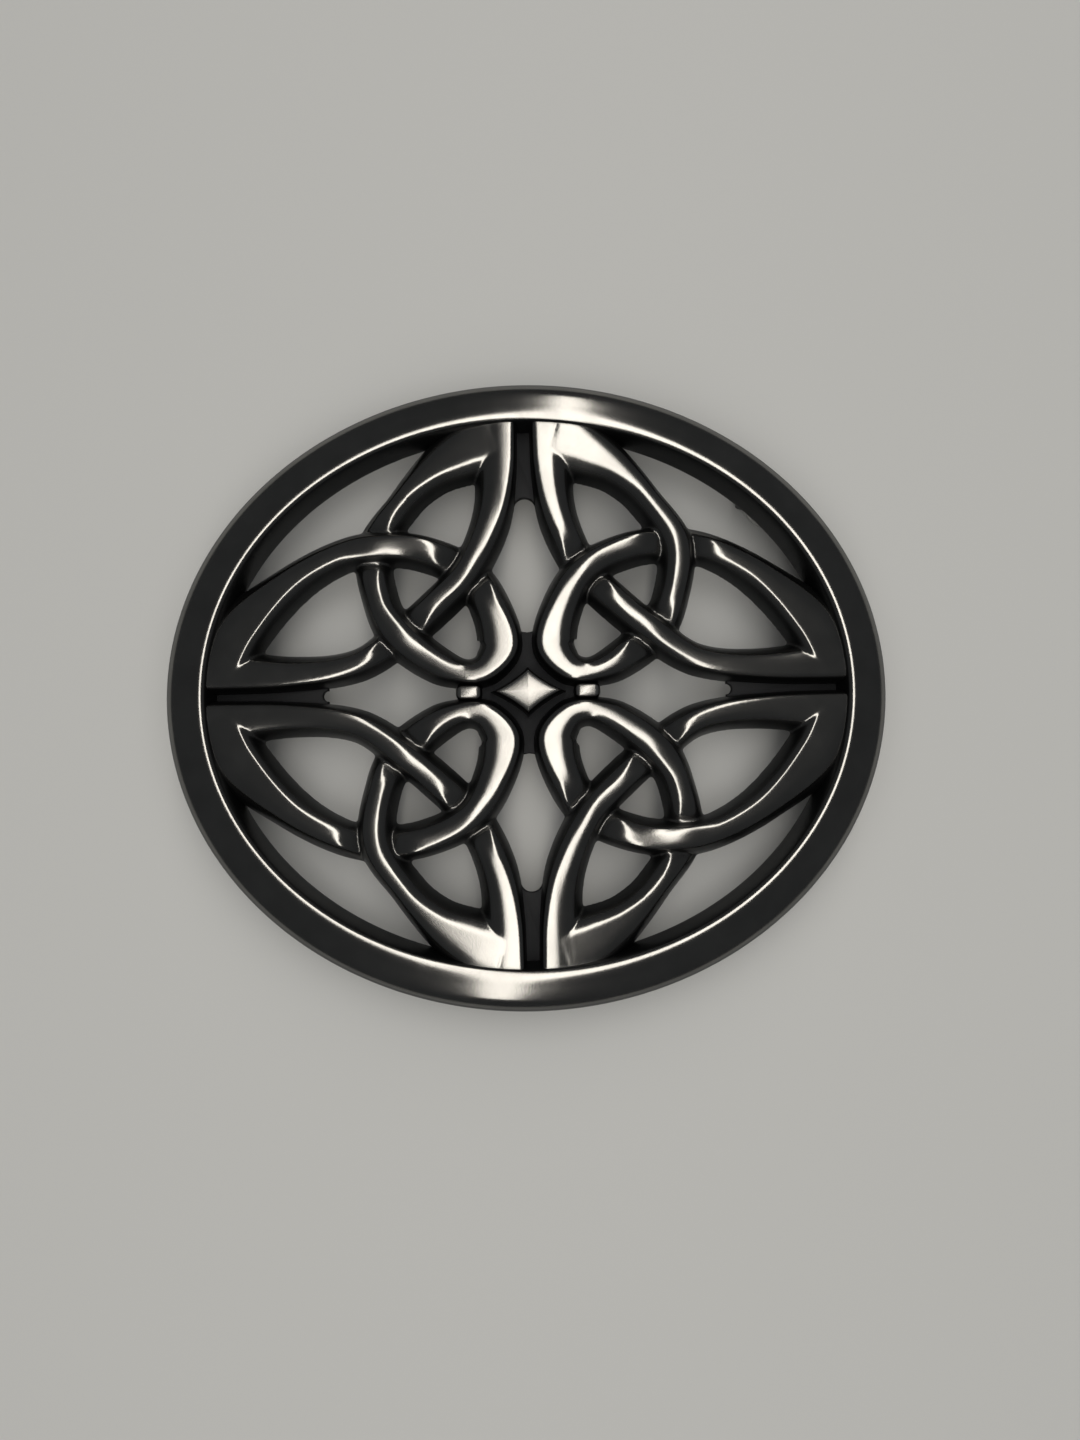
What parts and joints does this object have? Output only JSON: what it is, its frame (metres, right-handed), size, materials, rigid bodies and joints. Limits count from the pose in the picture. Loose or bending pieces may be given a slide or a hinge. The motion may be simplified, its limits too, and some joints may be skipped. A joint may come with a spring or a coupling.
{
  "type": "belt buckle",
  "caption": "Oval openwork belt buckle: interlaced knotwork in a raised rim, with a leaning belt peg and a swinging wire bail on its back.",
  "frame": {"origin": "middle of the oval, on the surface that the buckle lies on", "axes": "+Z out of the face; +X along the oval's length to the bail end; +Y up the face"},
  "size_m": [0.08, 0.07, 0.0094],
  "materials": {
    "antique_pewter": "antique pewter: near-black in the hollows and on the slopes, rubbed bright on every crest",
    "peg_metal": "bare pewter, worn smooth",
    "steel_wire": "drawn wire, dull nickel grey"
  },
  "bodies": {
    "plate": {"rim": "antique_pewter", "upper_left_long_strand": "antique_pewter", "upper_left_side_strand": "antique_pewter", "upper_left_pole_strand": "antique_pewter", "upper_right_long_strand": "antique_pewter", "upper_right_side_strand": "antique_pewter", "upper_right_pole_strand": "antique_pewter", "lower_left_long_strand": "antique_pewter", "lower_left_side_strand": "antique_pewter", "lower_left_pole_strand": "antique_pewter", "lower_right_long_strand": "antique_pewter", "lower_right_side_strand": "antique_pewter", "lower_right_pole_strand": "antique_pewter", "top_web": "antique_pewter", "bottom_web": "antique_pewter", "left_web": "antique_pewter", "right_web": "antique_pewter", "centre_web": "antique_pewter", "centre_boss": "antique_pewter", "left_bead": "antique_pewter", "right_bead": "antique_pewter", "upper_lug": "antique_pewter", "lower_lug": "antique_pewter", "peg_base": "antique_pewter", "belt_peg": "peg_metal"},
    "bail": {"bail": "steel_wire"}
  },
  "joints": [
    {"name": "bail_swing", "type": "hinge", "parent": "plate", "child": "bail", "pos_m": [0.02705, 0, 0.0022], "axis": [0, 1, 0], "range_deg": [-10, 172]}
  ]
}
